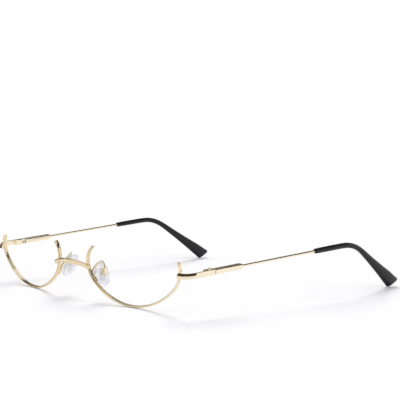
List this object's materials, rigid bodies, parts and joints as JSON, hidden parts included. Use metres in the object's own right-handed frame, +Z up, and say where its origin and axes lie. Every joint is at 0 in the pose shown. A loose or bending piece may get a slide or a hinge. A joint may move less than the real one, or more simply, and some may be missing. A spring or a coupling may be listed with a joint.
{
  "type": "half-frame eyeglasses",
  "caption": "Half-frame eyeglasses: two grooved half rims open at the top, a bowed bridge, nose pads on wire arms and spring-hinged wire temples with dark tips.",
  "frame": {"origin": "middle of the footprint, on the surface that the frame lies on: the lowest points of both half rims and of both temple tips stand on it", "axes": "+X towards the wearer's left, +Y from the half rims back along the open temples, +Z up"},
  "size_m": [0.1438, 0.1604, 0.0254],
  "materials": {
    "gold_metal": "polished pale gold plating",
    "screw_gold": "polished pale gold plating, turned",
    "spring_steel": "plain stainless steel",
    "pad_silicone": "milky, translucent, soft gloss",
    "core_plastic": "clear moulded plastic",
    "tip_plastic": "satin black moulded acetate"
  },
  "bodies": {
    "front": {"bridge": "gold_metal", "left_rim": "gold_metal", "left_pad_arm": "gold_metal", "left_pad_box": "gold_metal", "left_pad_screw": "screw_gold", "left_end_piece": "gold_metal", "left_hinge_block": "gold_metal", "left_hinge_screw": "screw_gold", "right_rim": "gold_metal", "right_pad_arm": "gold_metal", "right_pad_box": "gold_metal", "right_pad_screw": "screw_gold", "right_end_piece": "gold_metal", "right_hinge_block": "gold_metal", "right_hinge_screw": "screw_gold"},
    "left_plunger": {"left_spring_plunger": "spring_steel", "left_plunger_stop": "spring_steel"},
    "left_temple": {"left_spring_housing": "gold_metal", "left_spring_bush": "spring_steel", "left_flex_spring": "spring_steel", "left_temple_wire": "gold_metal", "left_temple_tip": "tip_plastic"},
    "left_pad": {"left_nose_pad": "pad_silicone", "left_pad_insert": "core_plastic"},
    "right_plunger": {"right_spring_plunger": "spring_steel", "right_plunger_stop": "spring_steel"},
    "right_temple": {"right_spring_housing": "gold_metal", "right_spring_bush": "spring_steel", "right_flex_spring": "spring_steel", "right_temple_wire": "gold_metal", "right_temple_tip": "tip_plastic"},
    "right_pad": {"right_nose_pad": "pad_silicone", "right_pad_insert": "core_plastic"}
  },
  "joints": [
    {"name": "left_temple_fold", "type": "hinge", "parent": "front", "child": "left_plunger", "pos_m": [0.06632, -0.05423, 0.01807], "axis": [0, -0.0696, 0.9976], "range_deg": [-6, 92]},
    {"name": "left_temple_flex", "type": "slide", "parent": "left_plunger", "child": "left_temple", "axis": [0.0384, 0.9968, 0.0696], "range_m": [0, 0.0012], "stiffness_N_per_m": 400, "springref_m": -0.001, "deforming": ["left_flex_spring"]},
    {"name": "left_pad_rock", "type": "hinge", "parent": "front", "child": "left_pad", "pos_m": [0.0128, -0.0677, 0.01282], "axis": [0.1807, 0.9624, -0.2026], "range_deg": [-8, 8]},
    {"name": "right_temple_fold", "type": "hinge", "parent": "front", "child": "right_plunger", "pos_m": [-0.06632, -0.05423, 0.01807], "axis": [0, 0.0696, -0.9976], "range_deg": [-6, 87]},
    {"name": "right_temple_flex", "type": "slide", "parent": "right_plunger", "child": "right_temple", "axis": [-0.0384, 0.9968, 0.0696], "range_m": [0, 0.0012], "stiffness_N_per_m": 400, "springref_m": -0.001, "deforming": ["right_flex_spring"]},
    {"name": "right_pad_rock", "type": "hinge", "parent": "front", "child": "right_pad", "pos_m": [-0.0128, -0.06783, 0.01472], "axis": [0.1807, -0.9624, 0.2026], "range_deg": [-8, 8]}
  ]
}
